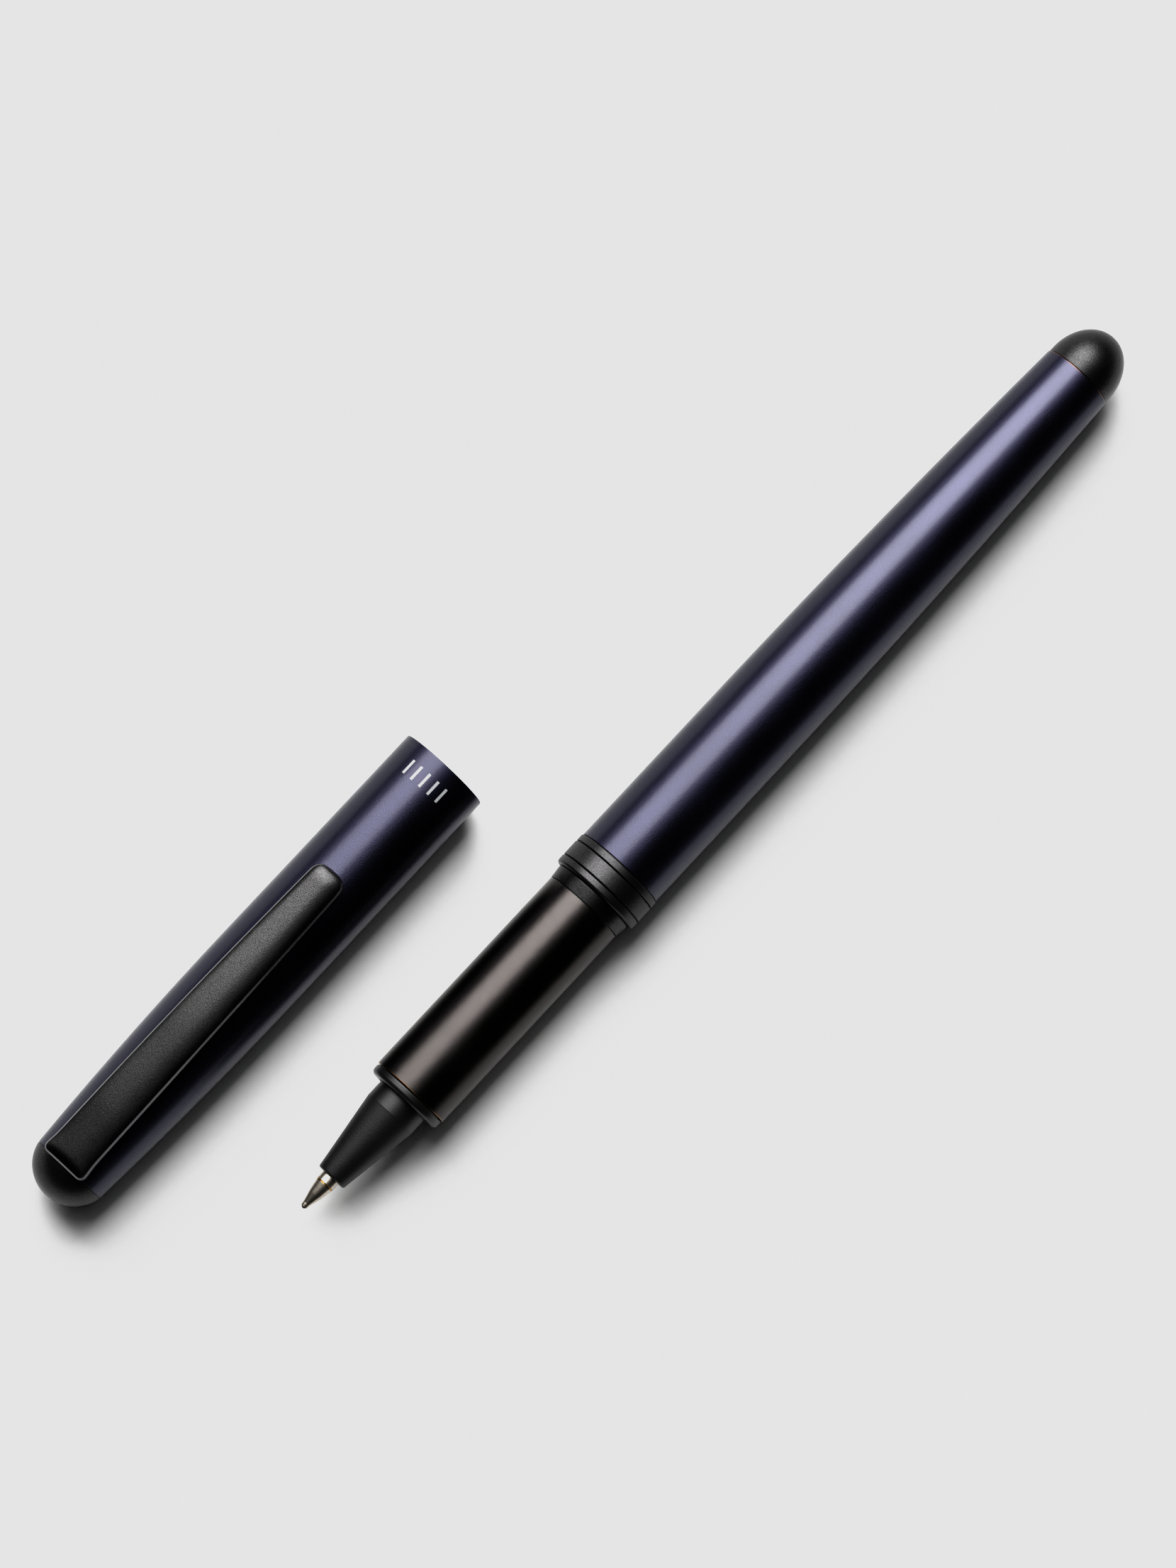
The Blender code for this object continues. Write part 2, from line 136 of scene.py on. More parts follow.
def rounded(corners, closed):
    """The points of an outline whose corners are rounded by their fillets."""
    points = []
    count = len(corners)
    for i, (station, radius, fillet) in enumerate(corners):
        corner = Vector((station, radius))
        if fillet <= 0 or (not closed and i in (0, count - 1)):
            points.append(corner)
            continue
        before = Vector(corners[i - 1][:2]) - corner
        after = Vector(corners[(i + 1) % count][:2]) - corner
        reach = min(before.length, after.length) * FILLET_SHARE
        before.normalize()
        after.normalize()
        half = before.angle(after) / 2
        fillet = min(fillet, reach * math.tan(half))
        tangent = fillet / math.tan(half)
        centre = corner + (before + after).normalized() * fillet / math.sin(half)
        start = corner + before * tangent
        end = corner + after * tangent
        sweep = (start - centre).angle_signed(end - centre)
        support = min(SUPPORT * fillet, reach - tangent)
        points.append(start + before * support)
        for step in range(FILLET_STEPS + 1):
            turn = -sweep * step / FILLET_STEPS
            arm = start - centre
            x = arm.x * math.cos(turn) - arm.y * math.sin(turn)
            y = arm.x * math.sin(turn) + arm.y * math.cos(turn)
            points.append(centre + Vector((x, y)))
        points.append(end + after * support)
    return points


def ellipse(centre, radii, start, end, steps):
    """Corners on an ellipse about a station on the axis, from one angle to another in degrees."""
    corners = []
    for i in range(steps + 1):
        angle = math.radians(start + (end - start) * i / steps)
        radius = max(radii[1] * math.sin(angle), 0.0)
        corners.append((centre + radii[0] * math.cos(angle), radius, 0))
    return corners


def placed(name, bm, tip, finishes, sharp=35):
    """Makes an object from a bmesh in millimetres, with its origin on its axis's tip."""
    bmesh.ops.recalc_face_normals(bm, faces=bm.faces)
    bm.transform(Matrix.Scale(MM, 4))
    mesh = bpy.data.meshes.new(name)
    bm.to_mesh(mesh)
    bm.free()
    mesh.shade_smooth()
    mesh.set_sharp_from_angle(angle=math.radians(sharp))
    for finish in finishes:
        mesh.materials.append(finish)
    thing = bpy.data.objects.new(name, mesh)
    thing.location = tip
    bpy.context.scene.collection.objects.link(thing)
    return thing


def turned(name, tip, corners, facets, finishes, second=None):
    """Turns an outline about the axis. One that starts and ends on the axis is solid, and any
    other is closed into a ring. second(station, radius) says where the second finish shows."""
    closed = corners[0][1] > 0
    points = rounded(corners, closed)
    bm = bmesh.new()
    rings = []
    for station, radius in points:
        if radius < 1e-6:
            rings.append([bm.verts.new((station, 0, 0))])
            continue
        ring = []
        for k in range(facets):
            angle = math.tau * k / facets
            place = (station, radius * math.cos(angle), radius * math.sin(angle))
            ring.append(bm.verts.new(place))
        rings.append(ring)
    pairs = list(zip(rings, rings[1:]))
    if closed:
        pairs.append((rings[-1], rings[0]))
    for one, two in pairs:
        if len(one) == 1 and len(two) == 1:
            continue
        for k in range(facets):
            n = (k + 1) % facets
            if len(one) == 1:
                face = bm.faces.new((one[0], two[n], two[k]))
            elif len(two) == 1:
                face = bm.faces.new((one[k], one[n], two[0]))
            else:
                face = bm.faces.new((one[k], one[n], two[n], two[k]))
            middle = face.calc_center_median()
            if second and second(middle.x, math.hypot(middle.y, middle.z)):
                face.material_index = 1
    bmesh.ops.remove_doubles(bm, verts=bm.verts, dist=1e-5)
    return placed(name, bm, tip, finishes)


def shown(piece, body, slot, *nodes):
    """The piece rides on a body and stands for CAD nodes, which it hides. slot is not used."""
    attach(piece, body)
    if nodes:
        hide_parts(*nodes)
    return piece


# --- Finishes


class Nodes:
    """A short way to write a material's node tree."""

    def __init__(self, name):
        self.material = bpy.data.materials.new(name)
        self.material.use_nodes = True
        self.tree = self.material.node_tree
        self.shader = self.tree.nodes["Principled BSDF"]
        self.place = self.tree.nodes.new("ShaderNodeTexCoord").outputs["Object"]

    def add(self, kind, **settings):
        node = self.tree.nodes.new(kind)
        for key, value in settings.items():
            setattr(node, key, value)
        return node

    def link(self, source, target):
        self.tree.links.new(source, target)

    def noise(self, size, detail=2.0, stretch=(1, 1, 1)):
        """Noise with cells of a size in millimetres, which stretch can draw out."""
        mapping = self.add("ShaderNodeMapping")
        mapping.inputs["Scale"].default_value = stretch
        self.link(self.place, mapping.inputs["Vector"])
        texture = self.add("ShaderNodeTexNoise")
        texture.inputs["Scale"].default_value = 1 / (size * MM)
        texture.inputs["Detail"].default_value = detail
        self.link(mapping.outputs["Vector"], texture.inputs["Vector"])
        return texture.outputs["Fac"]

    def spread(self, source, low, high):
        """Maps the range that a noise mostly fills to two values."""
        node = self.add("ShaderNodeMapRange")
        node.inputs["From Min"].default_value = 0.3
        node.inputs["From Max"].default_value = 0.7
        node.inputs["To Min"].default_value = low
        node.inputs["To Max"].default_value = high
        self.link(source, node.inputs["Value"])
        return node.outputs["Result"]

    def shade(self, source, colour, spread):
        """Varies the base colour's brightness by a noise."""
        mix = self.add("ShaderNodeMix", data_type="RGBA")
        factor, darker, lighter = mix.inputs[0], mix.inputs[6], mix.inputs[7]
        darker.default_value = (*[c * (1 - spread) for c in colour], 1)
        lighter.default_value = (*[c * (1 + spread) for c in colour], 1)
        self.link(self.spread(source, 0.0, 1.0), factor)
        self.link(mix.outputs[2], self.shader.inputs["Base Color"])

    def bump(self, source, height):
        """Raises the surface by a noise, to a height in millimetres."""
        bump = self.add("ShaderNodeBump")
        bump.inputs["Strength"].default_value = 1.0
        bump.inputs["Distance"].default_value = height * MM
        self.link(source, bump.inputs["Height"])
        self.link(bump.outputs["Normal"], self.shader.inputs["Normal"])


SMUDGE_SIZE = 7.0  # millimetres
CLEAR_IOR = 1.5


def surface(name, colour, metallic, roughness, grain, height, tone=0.15, smudge=0.05, coat=None,
            rim=1.0, stretch=(1, 1, 1)):
    """A finish with a fine grain of a size and height in millimetres, and faint smudges. tone is
    how much the grain varies the colour, and smudge how much the smudges vary the roughness. coat
    is the weight and roughness of a clear layer, and rim is how bright a metal is at its edges."""
    nodes = Nodes(name)
    shader = nodes.shader
    shader.inputs["Metallic"].default_value = metallic
    shader.inputs["IOR"].default_value = CLEAR_IOR
    shader.inputs["Specular Tint"].default_value = (rim, rim, rim, 1)
    fine = nodes.noise(grain, 2.0, stretch)
    smudges = nodes.noise(SMUDGE_SIZE, 3.0)
    nodes.shade(fine, colour, tone)
    varied = nodes.spread(smudges, roughness - smudge, roughness + smudge)
    nodes.link(varied, shader.inputs["Roughness"])
    if coat:
        shader.inputs["Coat Weight"].default_value = coat[0]
        shader.inputs["Coat Roughness"].default_value = coat[1]
        shader.inputs["Coat IOR"].default_value = CLEAR_IOR
    nodes.bump(fine, height)
    return nodes.material


def metal(name, colour, roughness, grain, height, **more):
    return surface(name, colour, 1.0, roughness, grain, height, **more)


def dull(name, colour, roughness, grain, height, **more):
    """A finish that isn't metal: plastic, rubber, fibre, print or paper."""
    return surface(name, colour, 0.0, roughness, grain, height, **more)


def anodised():
    """The navy of the barrel and the cap under its clear layer, and the section's graphite."""
    return {
        "navy": metal(
            "navy_anodised", (0.0186, 0.0178, 0.040), 0.34, 0.10, 0.030, coat=(0.72, 0.27), rim=0.5
        ),
        "graphite": metal(
            "graphite_anodised", (0.053, 0.0483, 0.0463), 0.21, 0.09, 0.016, rim=0.9
        ),
    }


def blasted():
    """The dark metals with a speckled grain."""
    return {
        "blasted": metal(
            "blasted_black", (0.058, 0.057, 0.058), 0.40, 0.12, 0.011, tone=0.35, rim=0.9
        ),
        "neck": metal(
            "textured_neck", (0.051, 0.051, 0.051), 0.30, 0.13, 0.011, tone=0.40, rim=0.76
        ),
        "clip": metal(
            "blasted_clip", (0.038, 0.0375, 0.0375), 0.28, 0.12, 0.009, tone=0.35, rim=0.5
        ),
        "matte": metal("matte_dome", (0.044, 0.0435, 0.0435), 0.38, 0.12, 0.017, tone=0.35),
    }


def dull_finishes():
    """Plastic, rubber, fibre and print."""
    return {
        "gloss": dull("gloss_black", (0.004, 0.004, 0.004), 0.20, 0.30, 0.002),
        "ring": dull("satin_black", (0.004, 0.004, 0.004), 0.36, 0.16, 0.006),
        "nose": dull("nose_plastic", (0.004, 0.004, 0.004), 0.45, 0.13, 0.018, tone=0.5),
        "band": dull("nose_band", (0.005, 0.005, 0.0055), 0.39, 0.12, 0.010, tone=0.4),
        "plug": dull("plug_plastic", (0.02, 0.02, 0.02), 0.45, 0.25, 0.006),
        "milky": dull("seal_plastic", (0.05, 0.05, 0.052), 0.42, 0.30, 0.006),
        "rubber": dull("black_rubber", (0.012, 0.012, 0.012), 0.55, 0.20, 0.008),
        "ink": dull("inked_fibre", (0.010, 0.011, 0.030), 0.80, 0.20, 0.030, tone=0.4),
        "fibre": dull("feed_fibre", (0.50, 0.50, 0.48), 0.80, 0.08, 0.015, tone=0.2),
        "print": dull("pale_print", (0.36, 0.37, 0.38), 0.40, 0.10, 0.004, tone=0.06),
    }


def bare_metals():
    """Turned, drawn and cut metal without a layer on it."""
    lathe = (1, 0.02, 0.02)  # grain drawn out round the axis
    drawn = (0.05, 1, 1)  # and along it
    return {
        "steel": metal("turned_steel", (0.52, 0.475, 0.41), 0.35, 0.05, 0.006, stretch=lathe),
        "tube_steel": metal("drawn_steel", (0.58, 0.58, 0.58), 0.30, 0.25, 0.002, stretch=drawn),
        "spring": metal("spring_steel", (0.50, 0.50, 0.51), 0.28, 0.20, 0.003),
        "carbide": metal("carbide", (0.18, 0.18, 0.185), 0.16, 0.05, 0.0005),
        "brass": metal("turned_brass", (0.62, 0.44, 0.20), 0.28, 0.04, 0.002, stretch=lathe),
        "gold": metal("brass_ring", (0.34, 0.19, 0.05), 0.25, 0.05, 0.001),
        "sleeve_cut": metal("sleeve_cut_edge", (0.28, 0.145, 0.050), 0.24, 0.06, 0.002),
        "barrel_cut": metal("barrel_cut_edge", (0.160, 0.082, 0.052), 0.24, 0.06, 0.002),
        "edge": metal("polished_edge", (0.14, 0.14, 0.145), 0.28, 0.08, 0.002),
    }


def make_finishes():
    """Every finish by its name."""
    return {**anodised(), **blasted(), **dull_finishes(), **bare_metals()}


# --- The front section


def ring_outline(front, rear, radii, fillets, shoulders):
    """A ring whose deeper part reaches further into the grooves beside it than its outside. Each
    pair of values is for its front and its rear."""
    groove_depths = [max(0.3, 2.2 * fillet) for fillet in fillets]
    ahead = radii[0] - groove_depths[0]
    behind = radii[1] - groove_depths[1]
    return [
        (front - shoulders[0], COLLAR_BORE_R, CRISP),
        (front - shoulders[0], ahead, CRISP),
        (front - REACH, ahead, CRISP),
        (front - REACH, radii[0], fillets[0]),
        (rear + REACH, radii[1], fillets[1]),
        (rear + REACH, behind, CRISP),
        (rear + shoulders[1], behind, CRISP),
        (rear + shoulders[1], COLLAR_BORE_R, CRISP),
    ]


def front_section(finish):
    front, rear, radius = span("section_sleeve", PEN)
    bore = 4.15
    edge, edge_drop = 0.07, 0.005
    sleeve = turned(
        "sleeve_skin",
        PEN,
        [
            (front, bore, 0.05),
            (front, radius - edge_drop, CRISP),
            (front + edge, radius, CRISP),
            (rear + REACH, radius, 0.05),
            (rear + REACH, bore, 0.05),
        ],
        ROUND,
        [finish["graphite"], finish["sleeve_cut"]],
        lambda s, r: s < front + edge and r > radius - edge_drop,
    )
    shown(sleeve, "front_section", "graphite_anodised", "section_sleeve")

    both, alone = 0.11, 0.17  # a shoulder's reach where two meet, and where there is only one
    flare = 0.14
    front, rear, radius = span("section_neck", PEN)
    outline = ring_outline(front, rear, (radius - flare, radius), (0.04, 0.05), (alone, both))
    neck = turned("neck_skin", PEN, outline, ROUND, [finish["neck"]])
    shown(neck, "front_section", "blasted_black", "section_neck")

    for name, fillets, shoulders in (
        ("front", (0.34, 0.06), (both, both)),
        ("wide", (0.06, 0.06), (both, both)),
        ("rear", (0.06, 0.08), (both, alone)),
    ):
        node = "collar_ring_" + name
        front, rear, radius = span(node, PEN)
        outline = ring_outline(front, rear, (radius, radius), fillets, shoulders)
        ring = turned(node + "_skin", PEN, outline, ROUND, [finish["blasted"]])
        shown(ring, "front_section", "blasted_black", node)


def flange(finish):
    front, spigot_rear, radius = span("front_flange_ring", PEN)
    bore, spigot, thick = 3.25, 3.90, 1.06
    ring = turned(
        "flange_skin",
        PEN,
        [
            (front, bore, 0.08),
            (front, radius, 0.5),
            (front + thick, radius, 0.16),
            (front + thick, spigot, 0.04),
            (spigot_rear, spigot, 0.1),
            (spigot_rear, bore, 0.1),
        ],
        ROUND,
        [finish["ring"]],
    )
    shown(ring, "front_section", "gloss_black", "front_flange_ring")


def threaded_core(finish):
    """The brass tube with its groove, and a thread that really is a helix."""
    front, rear, crest = span("section_core", PEN)
    tube_r, bore, root = 3.70, 3.30, 3.62
    groove_front, groove_rear, groove_r = 48.7, 49.9, 3.45
    thread = (50.4, 56.9)
    runout = 0.08
    core = turned(
        "core_skin",
        PEN,
        [
            (front, bore, 0.05),
            (front, tube_r, 0.1),
            (groove_front, tube_r, 0.05),
            (groove_front, groove_r, 0.05),
            (groove_rear, groove_r, 0.05),
            (groove_rear, tube_r, 0.05),
            (thread[0], tube_r, CRISP),
            (thread[0] + runout, root, CRISP),
            (thread[1] - runout, root, CRISP),
            (thread[1], tube_r, CRISP),
            (rear, tube_r - 0.1, 0.1),
            (rear, bore, 0.05),
        ],
        FINE,
        [finish["brass"], finish["gloss"]],
        lambda s, r: s < groove_front and r > bore + 0.1,
    )
    shown(core, "front_section", "brass", "section_core")
    ridge = helix_ridge("core_thread", root, crest, thread, finish["brass"])
    shown(ridge, "front_section", "brass")


def helix_ridge(name, root, crest, reach, finish):
    """A thread's ridge, swept round the axis, which fades into the root at both ends."""
    pitch, width, sunk = 0.8, 0.62, 0.06
    flat = 0.14 * width  # half the crest's width
    per_turn, fading = 72, 24
    low = root + 0.01
    steps = int((reach[1] - reach[0] - width) / pitch * per_turn)
    bm = bmesh.new()
    sections = []
    for i in range(steps + 1):
        angle = math.tau * i / per_turn
        along = reach[0] + width / 2 + pitch * i / per_turn
        fade = min(1.0, i / fading, (steps - i) / fading)
        top = low + (crest - low) * fade
        ridge = []
        for shift, radius in (
            (-width / 2, root - sunk),
            (-flat, top),
            (flat, top),
            (width / 2, root - sunk),
        ):
            place = (along + shift, radius * math.cos(angle), radius * math.sin(angle))
            ridge.append(bm.verts.new(place))
        sections.append(ridge)
    for one, two in zip(sections, sections[1:]):
        for k in range(4):
            n = (k + 1) % 4
            bm.faces.new((one[k], one[n], two[n], two[k]))
    bm.faces.new(sections[0])
    bm.faces.new(sections[-1])
    return placed(name, bm, PEN, [finish])


def o_ring(finish):
    front, rear, radius = span("thread_o_ring", PEN)
    wire = (rear - front) / 2
    steps = 20
    section = []
    for i in range(steps):
        angle = math.tau * i / steps
        along = (front + rear) / 2 + wire * math.cos(angle)
        section.append((along, radius - wire + wire * math.sin(angle), 0))
    ring = turned("o_ring_skin", PEN, section, FINE, [finish["rubber"]])
    shown(ring, "front_section", "black_rubber", "thread_o_ring")


# --- The refill


def refill_nose(finish):
    """The cone and the band behind it, with a stop collar and a spigot inside the section."""
    front, rear, stop_r = span("refill_nose", PEN)
    face_r, shoulder_r, band_r = 1.70, 2.96, 3.00
    band, stop, stop_rear = 13.15, 19.3, 20.5
    tip_bore, rod_bore, spigot_r = 1.12, 1.9, 2.3
    nose = turned(
        "nose_skin",
        PEN,
        [
            (front, tip_bore, 0.06),
            (front, face_r, 0.22),
            (band - 0.25, shoulder_r, 0.3),
            (band, band_r, 0.1),
            (stop, band_r, 0.05),
            (stop, stop_r, 0.1),
            (stop_rear, stop_r, 0.1),
            (stop_rear, spigot_r, 0.05),
            (rear, spigot_r, 0.1),
            (rear, rod_bore, 0.1),
            (12.0, rod_bore, 0.1),
            (9.0, tip_bore, 0.1),
        ],
        ROUND,
        [finish["nose"], finish["band"]],
        lambda s, r: band - 0.05 < s < stop and r > rod_bore + 0.6,
    )
    shown(nose, "refill", "nose_plastic", "refill_nose")


def refill_tip(finish):
    """The steel cone with its brass-coloured line, and the ball in its seat."""
    front, rear, stem = span("refill_tip", PEN)
    lip, seat_r, feed_r, rod_bore = 0.40, 0.34, 0.20, 0.70
    shoulder, step = 3.25, 0.04
    tip = turned(
        "tip_skin",
        PEN,
        [
            (front, seat_r, 0.01),
            (front, lip - 0.03, 0.03),
            (front + 0.45, lip + 0.02, 0.05),
            (1.9, 0.77, 3.0),
            (shoulder, stem - step, 0.12),
            (shoulder + 0.12, stem - step, CRISP),
            (shoulder + 0.16, stem, 0.03),
            (rear, stem, 0.05),
            (rear, rod_bore, 0.05),
            (3.3, rod_bore, 0.05),
            (2.9, feed_r, 0.03),
            (0.95, feed_r, CRISP),
            (0.75, seat_r, CRISP),
        ],
        FINE,
        [finish["steel"], finish["gold"]],
        lambda s, r: shoulder + 0.02 < s < shoulder + 0.36 and r > rod_bore + 0.2,
    )
    shown(tip, "refill", "bright_steel", "refill_tip")

    front, rear, radius = span("writing_ball", PEN)
    ball = turned(
        "ball_skin",
        PEN,
        ellipse((front + rear) / 2, (radius, radius), 180, 0, 24),
        FINE,
        [finish["carbide"]],
    )
    shown(ball, "writing_ball", "carbide", "writing_ball")


def refill_tube(finish):
    """The steel tube with two rolled grooves, and its rear plug with a vent."""
    front, rear, radius = span("refill_tube", PEN)
    bore, plug_shoulder = 2.55, 104.3
    front_groove = (front + 5.0, front + 5.9, 0.25, 0.12, 0.1)
    rear_groove = (rear - 1.6, rear - 0.9, 0.2, 0.1, 0.08)
    grooves = []
    for start, end, slope, depth, fillet in (front_groove, rear_groove):
        grooves += [
            (start, radius, 0.1),
            (start + slope, radius - depth, fillet),
            (end - slope, radius - depth, fillet),
            (end, radius, 0.1),
        ]
    tube = turned(
        "refill_tube_skin",
        PEN,
        [
            (front, bore, 0.05),
            (front, radius, 0.12),
            *grooves,
            (rear, radius, 0.12),
            (rear, bore, 0.05),
        ],
        FINE,
        [finish["tube_steel"]],
    )
    shown(tube, "refill", "bright_steel", "refill_tube")

    front, rear, radius = span("refill_end_plug", PEN)
    vent, mouth, stem = 0.4, 1.2, 2.25
    plug = turned(
        "end_plug_skin",
        PEN,
        [
            (front, vent, 0.1),
            (front, stem, 0.2),
            (plug_shoulder, stem, 0.05),
            (plug_shoulder, radius, 0.1),
            (rear, radius, 0.45),
            (rear, mouth, 0.08),
            (rear - 0.4, mouth - 0.3, 0.08),
            (rear - 0.4, vent, 0.05),
        ],
        FINE,
        [finish["plug"]],
    )
    shown(plug, "refill", "plug_plastic", "refill_end_plug")


# --- The barrel


def barrel_radius(station, front_r, rear):
    along = max(0.0, (station - BARREL_TAPER) / (rear - BARREL_TAPER))
    return front_r - (front_r - BARREL_REAR_R) * along**TAPER_POWER


def barrel_tube(finish):
    """The tapered tube, with a bright cut edge and a dark lip under the dome's seam."""
    front, rear, radius = span("barrel_tube", PEN)
    steps = 26
    taper = [BARREL_TAPER + (rear - BARREL_TAPER) * i / steps for i in range(steps)]
    edge, edge_drop = 0.06, 0.015
    lip_reach, lip_depth = 0.05, 0.20
    front_bore, middle_bore, rear_bore = 4.75, 4.3, 3.65
    tube = turned(
        "barrel_skin",
        PEN,
        [
            (front - REACH, front_bore, 0.08),
            (front - REACH, radius, 0.07),
            *[(station, barrel_radius(station, radius, rear), 0) for station in taper],
            (rear - edge, barrel_radius(rear - edge, radius, rear), CRISP),
            (rear, BARREL_REAR_R - edge_drop, CRISP),
            (rear, BARREL_REAR_R - lip_depth, CRISP),
            (rear + lip_reach, BARREL_REAR_R - lip_depth, CRISP),
            (rear + lip_reach, rear_bore, CRISP),
            (104.0, rear_bore, 0.3),
            (86.0, middle_bore, 0.3),
            (60.0, front_bore, 0.3),
        ],
        ROUND,
        [finish["navy"], finish["barrel_cut"]],
        lambda s, r: rear - edge < s < rear + 0.01 and r > BARREL_REAR_R - edge_drop,
    )
    shown(tube, "barrel", "navy_anodised", "barrel_tube")


def barrel_fittings(finish):
    """The rear dome with the stud that the spring sits on, and the brass sleeve of the thread."""
    end = span("barrel_end_dome", PEN)[1]
    seam = span("barrel_tube", PEN)[1] + SEAM
    radius, crown = 3.97, 5.0
    stud_r, stud_end, cup_end, spigot_r = 2.65, 112.0, 117.1, 3.3
    dome = turned(
        "barrel_dome_skin",
        PEN,
        [
            (cup_end, 0.0, 0),
            (cup_end, stud_r, 0.1),
            (stud_end, stud_r, 0.1),
            (stud_end, spigot_r, 0.15),
            (seam, spigot_r, CRISP),
            (seam, radius, 0.04),
            *ellipse(end - crown, (crown, radius), 89, 0, 40),
        ],
        ROUND,
        [finish["matte"]],
    )
    shown(dome, "barrel", "matte_black_dome", "barrel_end_dome")

    front, rear, radius = span("barrel_thread_insert", PEN)
    bore = 4.15
    insert = turned(
        "thread_insert_skin",
        PEN,
        [(front, bore, 0.15), (front, radius, 0.1), (rear, radius, 0.1), (rear, bore, 0.15)],
        FINE,
        [finish["brass"]],
    )
    shown(insert, "barrel", "brass", "barrel_thread_insert")


def coil(finish):
    """The refill's spring: a wire swept along a helix, at its rest length."""
    front, rear, radius = span("refill_spring", PEN)
    wire = 0.2  # its radius
    turns, per_turn = 4.5, 40
    count = int(turns * per_turn) + 1
    curve = bpy.data.curves.new("spring_skin", "CURVE")
    curve.dimensions = "3D"
    curve.bevel_depth = wire * MM
    curve.bevel_resolution = 4
    curve.use_fill_caps = True
    spline = curve.splines.new("POLY")
    spline.points.add(count - 1)
    for i, point in enumerate(spline.points):
        angle = math.tau * i / per_turn
        along = front + wire + (rear - front - 2 * wire) * i / (count - 1)
        arm = radius - wire
        place = Vector((along, arm * math.cos(angle), arm * math.sin(angle))) * MM
        point.co = (*place, 1.0)
    curve.materials.append(finish["spring"])
    path = bpy.data.objects.new("spring_path", curve)
    spring = bpy.data.objects.new("spring_skin", bpy.data.meshes.new_from_object(path))
    bpy.data.objects.remove(path)
    spring.location = PEN
    bpy.context.scene.collection.objects.link(spring)
    shown(spring, "barrel", "bright_steel", "refill_spring")
    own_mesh(spring)


# --- The cap


def cap_radius(station, full, seam, mouth):
    if station > CAP_STRAIGHT:
        along = (station - CAP_STRAIGHT) / (mouth - CAP_STRAIGHT)
        return full - (full - CAP_MOUTH_R) * along
    along = (CAP_STRAIGHT - station) / (CAP_STRAIGHT - seam)
    return full - (full - CAP_SEAM_R) * along**TAPER_POWER


def cap_shell(finish):
    """The tapered shell, with a lip under the dome's seam and a bulkhead for the screw."""
    seam, mouth, full = span("cap_tube", CAP)
    steps = 22
    taper = [seam + (CAP_STRAIGHT - seam) * i / steps for i in range(1, steps + 1)]
    lip_reach, lip_depth = 0.05, 0.08
    mouth_bore, middle_bore, rear_bore, wall = 4.85, 4.3, 4.2, 0.1
    bulkhead, bulkhead_rear, screw_bore, dome_bore = 8.5, 10.4, 1.4, 3.55
    tube = turned(
        "cap_skin",
        CAP,
        [
            (seam - lip_reach, dome_bore, CRISP),
            (seam - lip_reach, CAP_SEAM_R - lip_depth, CRISP),
            (seam, CAP_SEAM_R - lip_depth, CRISP),
            (seam, CAP_SEAM_R, 0.05),
            *[(u, cap_radius(u, full, seam, mouth), 0) for u in taper],
            (mouth, CAP_MOUTH_R, wall),
            (mouth, mouth_bore, wall),
            (29.0, mouth_bore, 0.3),
            (22.0, middle_bore, 0.3),
            (bulkhead_rear, rear_bore, 0.2),
            (bulkhead_rear, screw_bore, 0.1),
            (bulkhead, screw_bore, 0.1),
            (bulkhead, dome_bore, 0.2),
        ],
        ROUND,
        [finish["navy"]],
    )
    shown(tube, "cap", "navy_anodised", "cap_tube")


def cap_dome(finish):
    """The rounded closed end, with its spigot and the screw's blind hole."""
    crown, radius = 4.2, 4.32
    seam = span("cap_tube", CAP)[0] - SEAM
    edge_angle = math.degrees(math.acos((seam - crown) / crown))
    spigot_r, spigot_end, hole_r, hole_end = 3.2, 8.1, 1.2, 3.8
    dome = turned(
        "cap_dome_skin",
        CAP,
        [
            *ellipse(crown, (crown, radius), 180, edge_angle + 1.5, 40),
            (seam, radius * math.sin(math.radians(edge_angle)), 0.05),
            (seam, spigot_r, CRISP),
            (spigot_end, spigot_r, 0.1),
            (spigot_end, hole_r, 0.1),
            (hole_end, hole_r, 0.1),
            (hole_end, 0.0, 0),
        ],
        ROUND,
        [finish["matte"]],
    )
    shown(dome, "cap", "matte_black_dome", "cap_dome")


def seal_cup(finish):
    """The inner cup that keeps the ball from drying: a narrow end, and a flared rim."""
    end, rim, rim_r = span("cap_seal_cup", CAP)
    end_r, body_r, nose_r = 2.6, 3.95, 1.9
    cup = turned(
        "seal_cup_skin",
        CAP,
        [
            (end, 0.0, 0),
            (end, end_r, 0.5),
            (15.0, body_r, 0.5),
            (rim - 1.7, body_r, 0.2),
            (rim - 1.1, rim_r, 0.1),
            (rim, rim_r, 0.1),
            (rim, SEAL_BORE_R, 0.3),
            (19.5, SEAL_BORE_R, 0.5),
            (15.6, nose_r, 0.3),
            (14.4, nose_r, 0.2),
            (14.4, 0.0, 0),
        ],
        FINE,
        [finish["milky"]],
    )
    shown(cup, "cap", "seal_plastic", "cap_seal_cup")


